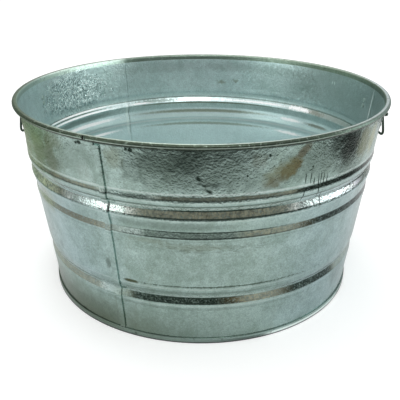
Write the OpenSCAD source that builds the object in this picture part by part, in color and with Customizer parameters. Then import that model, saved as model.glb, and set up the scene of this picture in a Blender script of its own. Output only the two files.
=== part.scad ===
// Galvanized wash tub: three sheet panels lock-seamed into a wall, wired at the rim,
// double-seamed to a pressed bottom, with two wire drop handles hung in riveted ears.
// Origin at the centre of the base, +Z up, the handles on the X axis.

/* [Tub] */
// Outside diameter over the rolled rim
rim_d = 610; // [560:1:680]
// Height from the floor to the top of the rim
tub_h = 324; // [310:1:380]
// Outside diameter over the bottom seam
base_d = 526; // [500:1:560]
// Thickness of the galvanized sheet
sheet_t = 0.7; // [0.5:0.05:1]
// Gap between sheets that are folded together
lap_gap = 0.15; // [0.1:0.01:0.2]

/* [Rim] */
// Diameter of the wire that the rim is rolled round
rim_wire_d = 8; // [6:0.1:10]
// Clearance between the rim wire and the rolled sheet
rim_wire_gap = 0.3; // [0.2:0.05:0.5]
// Angle left open between the end of the curl and the wall
curl_open = 47; // [40:1:80]
// Gap between the butted ends of the rim wire
rim_wire_butt = 1; // [0.5:0.1:3]

/* [Wall] */
// Height at which the upright foot of the wall ends
foot_h = 38; // [30:1:50]
// How far the foot flares out by that height
foot_out = 2.2; // [1:0.1:4]
// Height of the crest of the low bead
low_bead_z = 69.5; // [60:0.5:75]
// Height of the upright face above the low crest
low_bead_face = 12.5; // [8:0.5:14]
// How far the low crest stands out of the straight wall
low_bead_out = 0.5; // [0:0.1:3]
// How far the low groove goes into the straight wall
low_bead_in = 3.4; // [0:0.1:4]
// Height of the slope that leads into the low groove
low_bead_lead = 16; // [10:0.5:20]
// How far the middle of the wall bulges out
belly_out = 1.1; // [0:0.1:3]
// Height of the crest of the third shoulder bead
bead_3_z = 183; // [175:0.5:190]
// Height of the upright face above the third crest
bead_3_face = 10.5; // [8:0.5:13]
// How far the third crest stands out
bead_3_out = 2.1; // [0.5:0.1:4]
// How far the third groove goes back from its crest
bead_3_in = 1.9; // [0.5:0.1:3]
// Height of the crest of the second shoulder bead
bead_2_z = 213; // [208:0.5:216]
// Height of the sloped face above the second crest
bead_2_face = 13; // [9:0.5:14]
// How far the second crest stands out
bead_2_out = 2.6; // [0.5:0.1:4]
// How far the second groove goes back from its crest
bead_2_in = 5; // [1:0.1:6]
// Height of the crest of the first shoulder bead
bead_1_z = 240.5; // [238:0.5:244]
// Height of the upright face above the first crest
bead_1_face = 8; // [5:0.5:10]
// How far the first crest stands out
bead_1_out = 2.3; // [0.5:0.1:4]
// How far the sheet goes back above the first crest
bead_1_in = 1.3; // [0.2:0.1:3]
// Radius at which the sheet is bent along the beads
bead_bend = 8; // [3:0.5:12]

/* [Side seams] */
// Angle from the front to the first seam
seam_first = -25.3; // [-40:0.1:-15]
// Width of a lock seam
seam_w = 8; // [6:0.5:12]
// Width of the offset beside a lock seam
seam_joggle = 1.5; // [1.4:0.1:4]

/* [Bottom] */
// Height of the double seam at the base
base_seam_h = 9; // [7:0.5:12]
// Height of the underside of the floor
floor_z = 7.5; // [4:0.5:8]
// Radius inside the pressed corners of the bottom
base_bend = 0.6; // [0.3:0.05:0.65]
// Diameter of the stiffening ring pressed into the floor
floor_ring_d = 400; // [300:5:440]
// Width of the stiffening ring
floor_ring_w = 16; // [12:1:24]
// Height of the stiffening ring
floor_ring_h = 2.5; // [1:0.1:4]

/* [Handles] */
// Diameter of the handle wire
handle_wire_d = 4; // [3:0.1:5]
// Distance between the legs of a handle
handle_w = 90; // [80:1:110]
// Length of a handle from its pivot to its grip
handle_drop = 42; // [36:1:50]
// Angle at which a handle hangs away from the vertical
handle_hang = 8; // [6:0.5:10]
// Radius of the bends into the ears
handle_top_bend = 5; // [4:0.5:7]
// Radius of the corners at the grip
handle_corner = 10; // [6:0.5:14]
// Depth of a handle's pivot below the top of the rim
pivot_below_rim = 26; // [24:0.5:32]
// How far a handle's ends stand out of its ears
handle_end = 2; // [1:0.5:4]
// Gap between a hanging grip and a seam of the wall
grip_gap = 0.4; // [0.3:0.1:1]

/* [Ears] */
// Thickness of the ear strap
ear_t = 1.2; // [0.8:0.1:1.6]
// Width of an ear
ear_w = 16; // [14:0.5:20]
// Length of an ear below the pivot
ear_below = 27; // [25:0.5:32]
// Clearance of the handle wire in an ear
ear_bore_gap = 0.3; // [0.2:0.05:0.4]
// Gap beside an ear where the wire bends into the leg
ear_side_gap = 0.6; // [0.4:0.1:1.5]
// Gap between an ear and the wall
ear_seat_gap = 0.3; // [0.2:0.05:0.4]
// Diameter of a rivet's shank
rivet_d = 4; // [3:0.1:4.5]
// Diameter of a rivet's head
rivet_head_d = 7.4; // [6:0.1:9]
// Height of a rivet's outer head
rivet_head_h = 1.8; // [1:0.1:2.5]
// Height of a rivet's inner head
rivet_tail_h = 0.8; // [0.5:0.1:1.2]
// Distance between the rivets of an ear
rivet_pitch = 9.5; // [9:0.5:12]
// Distance from the pivot down to the upper rivet
rivet_below_pivot = 9.5; // [9:0.5:12]
// Clearance round a rivet's shank and under its heads
rivet_gap = 0.15; // [0.1:0.05:0.2]

/* [Hidden] */
$fn = 96;
panels = 3;

zinc = "#8fa3a0";
zinc_dark = "#5d6b66";
zinc_light = "#a9bcba";

lap = sheet_t + lap_gap;
base_r = base_d / 2;
foot_r = base_r - 2 * lap;
curl_r = rim_wire_d / 2 + rim_wire_gap + sheet_t;
curl_x = rim_d / 2 - curl_r;
curl_z = tub_h - curl_r;

// A straight line from the top of the foot to the inner side of the curl, from which the beads stand out.
line_low = [foot_h, foot_r + foot_out];
line_top = [curl_z, curl_x - curl_r + sheet_t];
line_slope = (line_top[1] - line_low[1]) / (line_top[0] - line_low[0]);
function line_r(z) = line_low[1] + line_slope * (z - line_low[0]);
function out_of_line(z, out) = [z, line_r(z) + out];

// Outer surface of the wall as heights and radii, from inside the bottom seam up to the curl.
crest_3 = out_of_line(bead_3_z, bead_3_out);
crest_2 = out_of_line(bead_2_z, bead_2_out);
crest_1 = out_of_line(bead_1_z, bead_1_out);
low_groove_z = low_bead_z + low_bead_face;
bead_1_lead = 5;
bead_1_rise = 0.25;
belly_below_bead = 19;
low_lead_share = 0.42;
low_lead_in = 0.3;
hook_bend = min(base_bend - lap_gap, 0.8 * sheet_t);
above_beads = [bead_1_z + bead_1_face, line_r(bead_1_z + bead_1_face) + bead_1_out - bead_1_in];

// Above the beads the sheet runs straight, and touches the inside of the curl without a bend.
bore_of_curl = curl_r - sheet_t;
to_curl = [curl_z - above_beads[0], curl_x - above_beads[1]];
top_lean = atan2(to_curl[1], to_curl[0]) - asin(bore_of_curl / norm(to_curl));
wall_top = [curl_z + bore_of_curl * sin(top_lean), curl_x - bore_of_curl * cos(top_lean)];
wall_table = [
    [lap + hook_bend, foot_r],
    [base_seam_h + 3, foot_r],
    [foot_h, foot_r + foot_out],
    out_of_line(low_bead_z, low_bead_out),
    out_of_line(low_groove_z, -low_bead_in),
    out_of_line(low_groove_z + low_bead_lead * low_lead_share, -low_bead_in * low_lead_in),
    out_of_line(low_groove_z + low_bead_lead, low_bead_out),
    out_of_line(bead_3_z - belly_below_bead, belly_out),
    crest_3,
    [bead_3_z + bead_3_face, line_r(bead_3_z + bead_3_face) + bead_3_out - bead_3_in],
    crest_2,
    [bead_2_z + bead_2_face, line_r(bead_2_z + bead_2_face) + bead_2_out - bead_2_in],
    [bead_1_z - bead_1_lead, line_r(bead_1_z - bead_1_lead) + bead_1_out - bead_1_rise],
    crest_1,
    above_beads,
    wall_top];
function wall_r(z) = lookup(z, wall_table);

// Rounds the corners of a path of points with short curves.
bend_steps = 2;
function on_curve(a, b, c, s) = (1 - s) * (1 - s) * a + 2 * s * (1 - s) * b + s * s * c;
function corner(a, b, c, rad) =
    let (u = (a - b) / norm(a - b), v = (c - b) / norm(c - b),
         turn = acos(max(-1, min(1, -u * v))),
         reach = min(rad * tan(turn / 2), 0.45 * norm(a - b), 0.45 * norm(c - b)))
    [for (i = [0 : bend_steps]) on_curve(b + u * reach, b, b + v * reach, i / bend_steps)];
function rounded(path, rad) = [
    for (i = [0 : len(path) - 1])
        each (i == 0 || i == len(path) - 1) ? [path[i]] : corner(path[i - 1], path[i], path[i + 1], rad)];
function reversed(list) = [for (i = [len(list) - 1 : -1 : 0]) list[i]];

// A band of sheet between two radial offsets from the wall's outer surface, cut to a range of heights.
wall_path = rounded([for (p = wall_table) [p[1], p[0]]], bead_bend);
function shifted(path, by) = [for (p = path) [p[0] + by, p[1]]];
module wall_band(inner, outer, z_low, z_high) {
    intersection() {
        polygon(concat(shifted(wall_path, outer), reversed(shifted(wall_path, inner))));
        translate([0, z_low]) square([rim_d, z_high - z_low]);
    }
}

// A sheet of even thickness on the left of a path of corners. Each bend is wider on its outside.
function side_of(a, b) = [a[1] - b[1], b[0] - a[0]] / norm(b - a);
function beside(path, by) = [
    for (i = [0 : len(path) - 1])
        let (before = side_of(path[max(i - 1, 0)], path[max(i, 1)]),
             after = side_of(path[min(i, len(path) - 2)], path[min(i + 1, len(path) - 1)]))
        path[i] + by * (before + after) / (1 + before * after)];
function turns_left(a, b, c) = side_of(a, b) * (c - b) > 0;
function bent(path, rad_left, rad_right) = [
    for (i = [0 : len(path) - 1])
        each (i == 0 || i == len(path) - 1) ? [path[i]]
            : corner(path[i - 1], path[i], path[i + 1],
                     turns_left(path[i - 1], path[i], path[i + 1]) ? rad_left : rad_right)];
module bent_sheet(path, rad) {
    other_side = bent(beside(path, sheet_t), rad, rad + sheet_t);
    polygon(concat(bent(path, rad + sheet_t, rad), reversed(other_side)));
}

// Turns a profile of radius and height through part of a circle. Angles are counted from the front.
module turned(from, to) {
    rotate([0, 0, from - 90]) rotate_extrude(angle = to - from) children();
}

// Lock seams: angles that widths on the wall take up, and the heights between which they are folded.
seam_r = (base_d + rim_d) / 4;
function as_angle(width) = width / seam_r * 180 / PI;
seam_half = as_angle(seam_w / 2);
seam_fold = as_angle(sheet_t);
seam_slip = as_angle(sheet_t + lap_gap);
seam_offset = as_angle(seam_joggle);
lock_low = base_seam_h + 2 * lap_gap;
lock_high = curl_z - curl_r - 2 * lap_gap;
module seam_sector(inner, outer, from, to, over = 0) {
    turned(from, to) wall_band(inner, outer, lock_low - over, lock_high + over);
}

// Folds are cut out of a thick sector of the wall, and rooted in the middle of the sheet.
root = -sheet_t / 2;
below = -2 * sheet_t;
sheet_lip = as_angle(0.1);
slot_step = 0.02;

// The curl goes from the top of the wall over the wire, and ends just short of the wall.
curl_overlap = 3;
module curl() {
    from = 180 - top_lean + curl_overlap;
    step = (curl_open - curl_overlap) / 4;
    translate([curl_x, curl_z]) difference() {
        circle(r = curl_r);
        circle(r = bore_of_curl);
        polygon([[0, 0], for (i = [0 : 4]) 2 * curl_r * [cos(from + step * i), sin(from + step * i)]]);
    }
}

// The wall's bottom edge is folded out and up, to be held in the bottom seam.
hook_top = base_seam_h - sheet_t - lap_gap;
module hook() {
    inside = foot_r - sheet_t;
    outside = foot_r + lap;
    polygon([
        [inside, lap + sheet_t],
        [inside, lap + hook_bend],
        [inside + hook_bend, lap],
        [outside - hook_bend, lap],
        [outside, lap + hook_bend],
        [outside, hook_top],
        [outside - sheet_t, hook_top],
        [outside - sheet_t, lap + sheet_t]]);
}

module panel_sheet() {
    wall_band(-sheet_t, 0, 0, tub_h);
    curl();
    hook();
}

module wall_panel(number) {
    start = seam_first + number * 360 / panels;
    end = start + 360 / panels;
    first_fold = start - seam_half;
    riser = end - seam_half - seam_offset;
    last_fold = end + seam_half - seam_fold;
    flap_end = end - seam_half + seam_slip;
    color(zinc) difference() {
        union() {
            turned(first_fold - sheet_lip, riser + seam_fold + sheet_lip) panel_sheet();
            // Edge folded out and back, on the inside of the seam
            difference() {
                seam_sector(root, 2 * lap, first_fold, start + seam_half - seam_slip);
                seam_sector(below, 2 * lap - sheet_t, first_fold + seam_fold, start + seam_half, 1);
            }
            // Edge offset outwards, then folded in and back, on the outside of the next seam
            difference() {
                seam_sector(root, seam_out, riser, end + seam_half);
                seam_sector(below, seam_out - sheet_t, riser + seam_fold, flap_end, 1);
                seam_sector(lap, seam_out - sheet_t - slot_step, end - seam_half, last_fold, 1);
                seam_sector(below, lap - sheet_t, end - seam_half, end + 2 * seam_half, 1);
            }
        }
        for (side = [0, 180]) rotate([0, 0, side]) each_rivet() rivet_hole();
    }
}

// The bottom is pressed from one sheet: floor, corner, channel round the wall's hook, and a lip over it.
module bottom_pan() {
    ring_r = floor_ring_d / 2;
    ring_slope = floor_ring_h * 1.5;
    chuck_r = foot_r - 2 * sheet_t - lap_gap;
    path = [
        [0, floor_z],
        [ring_r - floor_ring_w / 2, floor_z],
        [ring_r - floor_ring_w / 2 + ring_slope, floor_z + floor_ring_h],
        [ring_r + floor_ring_w / 2 - ring_slope, floor_z + floor_ring_h],
        [ring_r + floor_ring_w / 2, floor_z],
        [chuck_r, floor_z],
        [chuck_r, 0],
        [base_r, 0],
        [base_r, base_seam_h],
        [foot_r + lap_gap, base_seam_h]];
    color(zinc_dark) rotate_extrude() bent_sheet(path, base_bend);
}

// The rim wire is one hoop with its ends butted under the curl, away from the seams.
module rim_wire() {
    butt = rim_wire_butt / curl_x * 180 / PI;
    away = seam_first + 180 / panels;
    color(zinc_dark) turned(away + butt / 2, away + 360 - butt / 2)
        translate([curl_x, curl_z]) circle(d = rim_wire_d);
}

// Handles: the pivot runs along Y, clear of the wall at the inner edge of each ear.
wire_r = handle_wire_d / 2;
end_edge = 0.5;
bore_r = wire_r + ear_bore_gap;
loop_r = bore_r + ear_t;
leg_y = handle_w / 2;
ear_y = leg_y + handle_top_bend + ear_side_gap;
pivot_z = tub_h - pivot_below_rim;
function wall_x(y, z) = sqrt(pow(wall_r(z), 2) - y * y);
pivot_x = wall_x(ear_y, pivot_z) + ear_seat_gap + ear_t + bore_r;

// The grip bows in until its middle hangs against the wall, clear of a seam wherever that is.
seam_out = 3 * lap;
leg_foot = [pivot_x + handle_drop * sin(handle_hang), pivot_z - handle_drop * cos(handle_hang)];
grip_room = leg_foot[0] - wall_r(leg_foot[1]) - seam_out;
grip_bow = (grip_room - wire_r - grip_gap) / cos(handle_hang);
grip_turn = 2 * atan(grip_bow / (leg_y + handle_corner));
grip_r = (leg_y - handle_corner * cos(grip_turn)) / sin(grip_turn);

// The wire is drawn a trace thinner in its bends, and each bend ends inside the length beside it.
bend_thinning = 0.1;
overlap = 0.3;
overlap_turn = overlap / grip_r * 180 / PI;

// A bend of wire that starts at the origin, heading down, and turns towards +X.
module wire_bend(rad, angle) {
    translate([rad, 0, 0]) rotate([90, 0, 0]) rotate([0, 0, 180]) rotate_extrude(angle = angle)
        translate([rad, 0]) circle(r = wire_r - bend_thinning);
}

module handle_side() {
    end_l = ear_y + ear_w + handle_end - leg_y - handle_top_bend;
    // Straight end in the ear, with its cut edge broken
    translate([0, leg_y + handle_top_bend, 0]) rotate([-90, 0, 0]) rotate_extrude() polygon([
        [0, -overlap],
        [wire_r, -overlap],
        [wire_r, end_l - end_edge],
        [wire_r - end_edge, end_l],
        [0, end_l]]);
    // Bend from the ear into the leg
    translate([0, leg_y, -handle_top_bend]) rotate([0, 0, 90]) mirror([0, 0, 1])
        wire_bend(handle_top_bend, 90);
    translate([0, leg_y, handle_corner - handle_drop - overlap])
        cylinder(r = wire_r, h = handle_drop - handle_corner - handle_top_bend + 2 * overlap);
    // Corner between the leg and the grip
    translate([0, leg_y, handle_corner - handle_drop]) rotate([0, 0, -90 - grip_turn])
        wire_bend(handle_corner, 90);
}

module handle(side) {
    color(zinc_dark) rotate([0, 0, side]) translate([pivot_x, 0, pivot_z]) rotate([0, -handle_hang, 0]) {
        handle_side();
        mirror([0, 1, 0]) handle_side();
        translate([grip_r - grip_bow, 0, -handle_drop]) rotate([0, 0, 180 - grip_turn - overlap_turn])
            rotate_extrude(angle = 2 * (grip_turn + overlap_turn)) translate([grip_r, 0]) circle(r = wire_r);
    }
}

// Ears: a plate that lies on the wall, with a neck that carries a barrel round the wire.
ear_low = pivot_z - ear_below;
ear_high = pivot_z + loop_r;
neck_h = 1.4 * loop_r;
ear_sweep = 20;
module outside_wall(from, to, z_low, z_high) {
    turned(90 - ear_sweep, 90 + ear_sweep) polygon([
        [wall_r(z_low) + from, z_low],
        [wall_r(z_low) + to, z_low],
        [wall_r(z_high) + to, z_high],
        [wall_r(z_high) + from, z_high]]);
}

// The ear on the +Y side of the right handle
module ear() {
    difference() {
        union() {
            intersection() {
                outside_wall(ear_seat_gap, ear_seat_gap + ear_t, ear_low - 1, ear_high);
                translate([0, ear_y, 0]) rotate([90, 0, 90]) linear_extrude(height = rim_d) {
                    translate([ear_w / 2, ear_low + ear_w / 2]) circle(d = ear_w);
                    translate([0, ear_low + ear_w / 2]) square([ear_w, 2 * ear_below]);
                }
            }
            intersection() {
                outside_wall(ear_seat_gap, 2 * ear_w, pivot_z - loop_r, ear_high);
                translate([0, ear_y, pivot_z - neck_h / 2]) cube([pivot_x, ear_w, neck_h]);
            }
            translate([pivot_x, ear_y, pivot_z]) rotate([-90, 0, 0]) cylinder(r = loop_r, h = ear_w);
        }
        translate([pivot_x, ear_y - 1, pivot_z]) rotate([-90, 0, 0]) cylinder(r = bore_r, h = ear_w + 2);
        one_ear_rivets() rivet_hole();
    }
}

// Places its children at each rivet of one ear, on the wall's outer surface with +X square to it.
module one_ear_rivets() {
    for (i = [0, 1]) {
        z = pivot_z - rivet_below_pivot - i * rivet_pitch;
        y = ear_y + ear_w / 2;
        turn = asin(y / wall_r(z));
        translate([wall_x(y, z), y, z]) rotate([0, 0, turn]) rotate([0, top_lean, 0]) children();
    }
}

module each_rivet() {
    one_ear_rivets() children();
    mirror([0, 1, 0]) one_ear_rivets() children();
}

module rivet_hole() {
    rotate([0, 90, 0]) cylinder(d = rivet_d + 2 * rivet_gap, h = 4 * (ear_t + sheet_t), center = true);
}

// A rivet has a domed head on the ear, and a flat tail inside the tub.
module rivet() {
    head_base = ear_seat_gap + ear_t + rivet_gap;
    tail_base = -sheet_t - rivet_gap;
    dome_r = (pow(rivet_head_d / 2, 2) + pow(rivet_head_h, 2)) / (2 * rivet_head_h);
    rotate([0, 90, 0]) rotate_extrude() {
        translate([0, tail_base]) square([rivet_d / 2, head_base - tail_base]);
        translate([0, tail_base - rivet_tail_h]) square([rivet_head_d / 2, rivet_tail_h]);
        intersection() {
            translate([0, head_base + rivet_head_h - dome_r]) circle(r = dome_r);
            translate([0, head_base]) square([rivet_head_d, rivet_head_h]);
        }
    }
}

module ear_at(side, flip) {
    color(zinc_light) rotate([0, 0, side]) mirror([0, flip, 0]) ear();
}

module rivets(side) {
    color(zinc_light) rotate([0, 0, side]) each_rivet() rivet();
}

wall_panel(0);  // wall_panel_right
wall_panel(1);  // wall_panel_back
wall_panel(2);  // wall_panel_left
bottom_pan();
rim_wire();
handle(0);  // handle_right
handle(180);  // handle_left
ear_at(0, 1);  // ear_right_front
ear_at(0, 0);  // ear_right_back
ear_at(180, 0);  // ear_left_front
ear_at(180, 1);  // ear_left_back
rivets(0);  // rivets_right
rivets(180);  // rivets_left
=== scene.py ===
import math
from functools import reduce

import bmesh
import bpy
from bmesh.types import BMEdge, BMVert
from mathutils import Matrix, Vector, noise


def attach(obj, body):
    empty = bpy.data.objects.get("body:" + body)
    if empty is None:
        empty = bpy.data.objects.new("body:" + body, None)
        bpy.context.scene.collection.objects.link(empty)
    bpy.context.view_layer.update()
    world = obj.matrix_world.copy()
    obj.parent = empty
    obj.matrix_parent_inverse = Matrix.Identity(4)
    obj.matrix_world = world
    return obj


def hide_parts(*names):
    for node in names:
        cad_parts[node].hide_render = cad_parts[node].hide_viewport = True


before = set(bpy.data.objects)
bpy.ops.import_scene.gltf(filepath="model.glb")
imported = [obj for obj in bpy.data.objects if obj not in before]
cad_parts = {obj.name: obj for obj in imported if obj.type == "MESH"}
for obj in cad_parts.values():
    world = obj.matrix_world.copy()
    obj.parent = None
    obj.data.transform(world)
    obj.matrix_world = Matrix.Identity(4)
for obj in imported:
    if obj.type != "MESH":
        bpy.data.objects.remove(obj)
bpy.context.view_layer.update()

# Every length is in mm and every angle in degrees, and MM makes a length metres. The sheet, then one layer of a seam
# with its gap
MM = 0.001
SHEET = 0.7
LAP = 0.85

# The wall: radius and height of each corner of its outer side, up to the rim's curl. The hook is what the bottom's
# edge closes over
FOOT_R = 261.3
WALL = ((FOOT_R, 1.55), (FOOT_R, 12), (263.5, 38), (267.6, 69.5), (265.1, 82), (268.3, 88.7), (270.9, 98),
        (279.05, 164), (282.2, 183), (281.5, 193.5), (286.15, 213), (282.65, 226), (288.2, 235.5),
        (289.0, 240.5), (288.6, 248.5), (297.325, 320.222))
HOOK = ((FOOT_R + 0.15, 8.1), (FOOT_R + 0.15, 1.55))
WALL_BEND, WALL_MESH = 1.3, 3.2

# The rim's curl: radius and height of its middle, and how far it turns. The wire in it is a hoop with a small gap
CURL_AT = (300.8, 319.8)
CURL_TURN = 313
RIM_WIRE_R, HOOP_GAP = 3.2, 1

# The lock seams: the heights between which they are folded, the azimuth of the first and the turn to the next, the
# radius at which their widths are measured, and how far before a seam's line the sheet below it begins and the sheet
# that folds over it leaves the wall
LOCK_LOW, LOCK_HIGH = 9.3, 313.7
SEAM_FIRST, SEAM_TURN = -25.3, 120
SEAM_R = 284
EDGE_BELOW, EDGE_ABOVE = 3.3, 5.0

# The folds of a seam, each a width round the wall and a distance out of it: the step over the next sheet's edge, then
# the fold that goes down and back under it. Last, how far that sheet's own edge is set out, how far it reaches forward,
# and how far its lip goes back where the seam ends at the rim and the base
STEP_OVER = ((0.3, 0.25), (0.3, 0.75), (0.3, 0.9), (0.3, 0.65))
FOLD_UNDER = ((2.8, 0.1), (2.8, 0.0), (2.3, -0.1), (0.55, -0.15), (0.25, -0.3), (0.05, -0.5), (0, -1.45), (-7.1, 0))
EDGE_RISE, EDGE_REACH, LIP_BACK = 1.0, 3.15 + EDGE_BELOW, 0.8


def wall_r(height):
    """Radius of the wall's outer side at a height, in mm."""
    for (r0, z0), (r1, z1) in zip(WALL, WALL[1:]):
        if height <= z1:
            return r0 + (r1 - r0) * max(0, height - z0) / (z1 - z0)
    return WALL[-1][0]


def smooth(low, high, x):
    t = min(1, max(0, (x - low) / (high - low)))
    return t * t * (3 - 2 * t)


def unevenness(at):
    """How far the rolled sheet stands out of true at a point, in mm. It dies out at the rim and the base."""
    height = at.z / MM
    azimuth = math.degrees(math.atan2(at.x, -at.y))
    on = Vector((at.x, at.y, 0)).normalized() * 0.28
    on.z = at.z
    waves = 0.34 * noise.noise(on * 9) + 0.13 * noise.noise(on * 26 + Vector((4, 1, 7)))
    bulge = 1.5 * math.exp(-((azimuth + 76) / 22) ** 2) * smooth(190, 225, height) * smooth(272, 250, height)
    return (waves + bulge) * smooth(12, 40, height) * smooth(308, 290, height)


def push_out(vert, by):
    flat = Vector((vert.co.x, vert.co.y, 0)).normalized()
    vert.co += flat * by * MM


# Helpers for the shapes

def join(bm, verts):
    return [bm.edges.new(pair) for pair in zip(verts, verts[1:])]


def chain(bm, points):
    """Joins radius and height points by edges, in the plane that faces the front."""
    verts = [bm.verts.new((0, -r * MM, z * MM)) for r, z in points]
    join(bm, verts)
    return verts


def of_kind(parts, *kinds):
    return [p for p in parts if isinstance(p, kinds)]


def turn(bm, verts, angle, axis="Z"):
    bmesh.ops.rotate(bm, verts=verts, cent=(0, 0, 0), matrix=Matrix.Rotation(math.radians(angle), 3, axis))


def spin(bm, parts, angle, steps, axis=(0, 0, 1), cent=(0, 0, 0), merge=False):
    done = bmesh.ops.spin(bm, geom=of_kind(parts, BMVert, BMEdge), cent=cent, axis=axis, angle=math.radians(angle),
                          steps=steps, use_merge=merge)
    return done["geom_last"]


def extrude(bm, parts):
    """Draws edges on. Returns the new verts, and then the new verts with the new edges."""
    new = bmesh.ops.extrude_edge_only(bm, edges=of_kind(parts, BMEdge))["geom"]
    return of_kind(new, BMVert), of_kind(new, BMVert, BMEdge)


def round_off(bm, verts, by, segments=4):
    bmesh.ops.bevel(bm, geom=verts, offset=by * MM, offset_type="OFFSET", segments=segments, profile=0.5,
                    affect="VERTICES", material=-1)


def cut_long(bm, longest):
    for cuts in range(24, 0, -1):
        edges = [e for e in bm.edges if e.calc_length() > longest * MM * cuts]
        if edges:
            bmesh.ops.subdivide_edges(bm, edges=edges, cuts=cuts)


def weld(bm, within=1e-6):
    bmesh.ops.remove_doubles(bm, verts=bm.verts, dist=within)
    bmesh.ops.recalc_face_normals(bm, faces=bm.faces)


def shell(bm, outward):
    """Turns every face the same way, with the face that is nearest to a point facing away from the axis."""
    weld(bm)
    face = min(bm.faces, key=lambda f: (f.calc_center_median() - outward[0]).length)
    if face.normal.dot(outward[1]) < 0:
        bmesh.ops.reverse_faces(bm, faces=bm.faces)


def placed(name, data):
    obj = bpy.data.objects.new(name, data)
    bpy.context.scene.collection.objects.link(obj)
    return obj


def mesh_object(name, bm, materials):
    mesh = bpy.data.meshes.new(name)
    bm.to_mesh(mesh)
    bm.free()
    for material in materials:
        mesh.materials.append(material)
    return placed(name, mesh)


def piece(name, bm, body, nodes, materials, thick=0, sharp=32):
    """Makes a finished piece of a mesh, with the sheet's thickness where it is given."""
    obj = mesh_object(name, bm, materials)
    if thick:
        solid = obj.modifiers.new("Sheet", "SOLIDIFY")
        solid.thickness = thick * MM
        solid.offset = -1
        solid.use_even_offset = True
        solid.material_offset = len(materials) - 1
        solid.material_offset_rim = len(materials) - 1
        graph = bpy.context.evaluated_depsgraph_get()
        plain_mesh = obj.data
        made = bpy.data.meshes.new_from_object(obj.evaluated_get(graph), depsgraph=graph)
        obj.modifiers.clear()
        obj.data = made
        bpy.data.meshes.remove(plain_mesh)
        made.name = name
    obj.data.shade_smooth()
    obj.data.set_sharp_from_angle(angle=math.radians(sharp))
    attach(obj, body)
    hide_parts(*nodes)


# Helpers for the materials

def feed(tree, socket, value):
    """Links a socket to a value that is a socket too, and sets it to any other."""
    if isinstance(value, bpy.types.NodeSocket):
        tree.links.new(value, socket)
    else:
        socket.default_value = value


def put(tree, kind, inputs=None, **settings):
    """Adds a node, sets it, and gives its inputs values or links."""
    made = tree.nodes.new(kind)
    for key, value in settings.items():
        setattr(made, key, value)
    for key, value in (inputs or {}).items():
        feed(tree, made.inputs[key], value)
    return made


def math_node(tree, operation, *values, clamp=False):
    return put(tree, "ShaderNodeMath", dict(enumerate(values)), operation=operation, use_clamp=clamp).outputs[0]


def fade(tree, value, low, high, to_low=0.0, to_high=1.0):
    return put(tree, "ShaderNodeMapRange", {"Value": value, "From Min": low, "From Max": high, "To Min": to_low,
               "To Max": to_high}, interpolation_type="SMOOTHSTEP").outputs[0]


def mixed(tree, share, a, b, blend="MIX"):
    made = put(tree, "ShaderNodeMix", {"Factor": share}, data_type="RGBA", blend_type=blend)
    for socket, value in (("A_Color", a), ("B_Color", b)):
        feed(tree, next(s for s in made.inputs if s.identifier == socket), value)
    return next(s for s in made.outputs if s.identifier == "Result_Color")


def times(tree, colour, by):
    return mixed(tree, 1.0, colour, by, "MULTIPLY")


def grey_of(tree, value):
    return put(tree, "ShaderNodeCombineColor", {0: value, 1: value, 2: value}).outputs[0]


def highest(tree, masks):
    return reduce(lambda a, b: math_node(tree, "MAXIMUM", a, b), masks)


def product(tree, *values):
    return reduce(lambda a, b: math_node(tree, "MULTIPLY", a, b), values)


def scaled(tree, value, by, plus):
    return math_node(tree, "MULTIPLY_ADD", value, by, plus)


def noise_of(tree, place, scale, detail=3, rough=0.5, distortion=0.0):
    return put(tree, "ShaderNodeTexNoise", {"Vector": place, "Scale": scale, "Detail": detail, "Roughness": rough,
               "Distortion": distortion}).outputs["Fac"]


def group(name, ins, outs):
    """Starts a shader node group, and returns it with its input and output nodes."""
    tree = bpy.data.node_groups.new(name, "ShaderNodeTree")
    for side, sockets in (("INPUT", ins), ("OUTPUT", outs)):
        for label, kind, *value in sockets:
            made = tree.interface.new_socket(label, in_out=side, socket_type="NodeSocket" + kind)
            if value:
                made.default_value = value[0]
    return tree, tree.nodes.new("NodeGroupInput"), tree.nodes.new("NodeGroupOutput")


def use(tree, shared, inputs):
    made = put(tree, "ShaderNodeGroup")
    made.node_tree = shared
    for key, value in inputs.items():
        feed(tree, made.inputs[key], value)
    return made.outputs


# Where a point lies on the tub: degrees round from the front, millimetres above the floor, and degrees round the
# rim's wire from its top outwards
def make_place_group():
    tree, start, end = group("place_on_tub", [("Place", "Vector")],
                             [("Azimuth", "Float"), ("Height", "Float"), ("Roll", "Float")])
    parts = put(tree, "ShaderNodeSeparateXYZ", {0: start.outputs[0]}).outputs
    front = product(tree, parts[1], -1.0)
    azimuth = math_node(tree, "ARCTAN2", parts[0], front)
    tree.links.new(product(tree, azimuth, 180 / math.pi), end.inputs[0])
    height = product(tree, parts[2], 1000.0)
    tree.links.new(height, end.inputs[1])
    squares = math_node(tree, "ADD", product(tree, parts[0], parts[0]), product(tree, parts[1], parts[1]))
    flat = math_node(tree, "SQRT", squares)
    outward = scaled(tree, flat, 1000.0, -CURL_AT[0])
    roll = math_node(tree, "ARCTAN2", outward, math_node(tree, "SUBTRACT", height, CURL_AT[1]))
    tree.links.new(product(tree, roll, 180 / math.pi), end.inputs[2])
    return tree


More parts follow.
